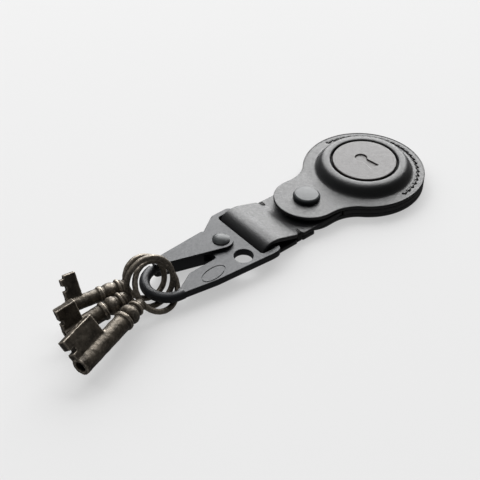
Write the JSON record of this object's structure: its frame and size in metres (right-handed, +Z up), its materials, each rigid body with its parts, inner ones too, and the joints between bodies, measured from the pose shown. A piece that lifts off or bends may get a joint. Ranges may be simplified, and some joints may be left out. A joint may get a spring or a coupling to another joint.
{
  "type": "key organiser",
  "caption": "Leather tracker fob on a folded strap with a gated snap hook that carries old keys by their ring bows.",
  "frame": {"origin": "centre of the fob's round back face, on the surface that it lies on", "axes": "+X from the keys towards the fob's round end, +Z up out of the fob's window"},
  "size_m": [0.1637, 0.046, 0.018],
  "materials": {
    "leather": "smooth satin black vegetable-tanned leather",
    "insert_leather": "smooth warm black leather, debossed",
    "thread": "waxed black thread",
    "black_plastic": "satin black",
    "polished_steel": "polished",
    "circuit_board": "solder mask",
    "copper": "bright",
    "black_metal": "satin black",
    "blackened_steel": "satin black coating",
    "spring_steel": "drawn wire",
    "key_iron": "aged brown-grey iron, burnished on edges"
  },
  "bodies": {
    "fob": {"back_cover": "leather", "spacer": "leather", "front_cover": "leather", "edge_stitching": "thread", "window_disc": "insert_leather", "tracker_shell": "black_plastic", "tracker_battery_cap": "polished_steel", "coin_cell": "polished_steel", "tracker_board": "circuit_board", "tracker_coil": "copper", "battery_contacts": "copper", "strap_loop": "leather", "strap_wraps": "thread", "snap_stud": "black_metal", "snap_post": "black_metal"},
    "tab": {"front_tab": "leather", "snap_cap": "black_metal", "snap_socket": "black_metal"},
    "hook": {"hook_plate": "blackened_steel", "gate_rivet": "black_metal", "gate_spring": "spring_steel"},
    "gate": {"gate_lever": "blackened_steel"},
    "key_front": {"key_front": "key_iron"},
    "key_middle": {"key_middle": "key_iron"},
    "key_back": {"key_back": "key_iron"}
  },
  "joints": [
    {"name": "tab_flap", "type": "hinge", "parent": "fob", "child": "tab", "pos_m": [-0.0195, 0, 0.0052], "axis": [0, 1, 0], "range_deg": [0, 60], "stiffness_Nm_per_rad": 0.02},
    {"name": "hook_swing", "type": "hinge", "parent": "fob", "child": "hook", "pos_m": [-0.0556, -0.0005, 0.004], "axis": [0, 1, 0], "range_deg": [-8, 12]},
    {"name": "gate_pivot", "type": "hinge", "parent": "hook", "child": "gate", "pos_m": [-0.0685, 0.0007, 0.0042], "axis": [0, 0, 1], "range_deg": [0, 2.5], "stiffness_Nm_per_rad": 0.01, "springref_deg": -34.38},
    {"name": "key_front_swing", "type": "hinge", "parent": "hook", "child": "key_front", "pos_m": [-0.09942, -0.00723, 0.0042], "axis": [0.6872, 0.2356, 0.6872], "range_deg": [0, 8]},
    {"name": "key_middle_swing", "type": "hinge", "parent": "hook", "child": "key_middle", "pos_m": [-0.10092, -0.0047, 0.0042], "axis": [-0.084, -0.9359, 0.342], "range_deg": [0, 12]},
    {"name": "key_back_swing", "type": "hinge", "parent": "hook", "child": "key_back", "pos_m": [-0.10096, 0.00046, 0.0042], "axis": [-0.0741, -0.8144, 0.5755], "range_deg": [-20, 0]}
  ]
}
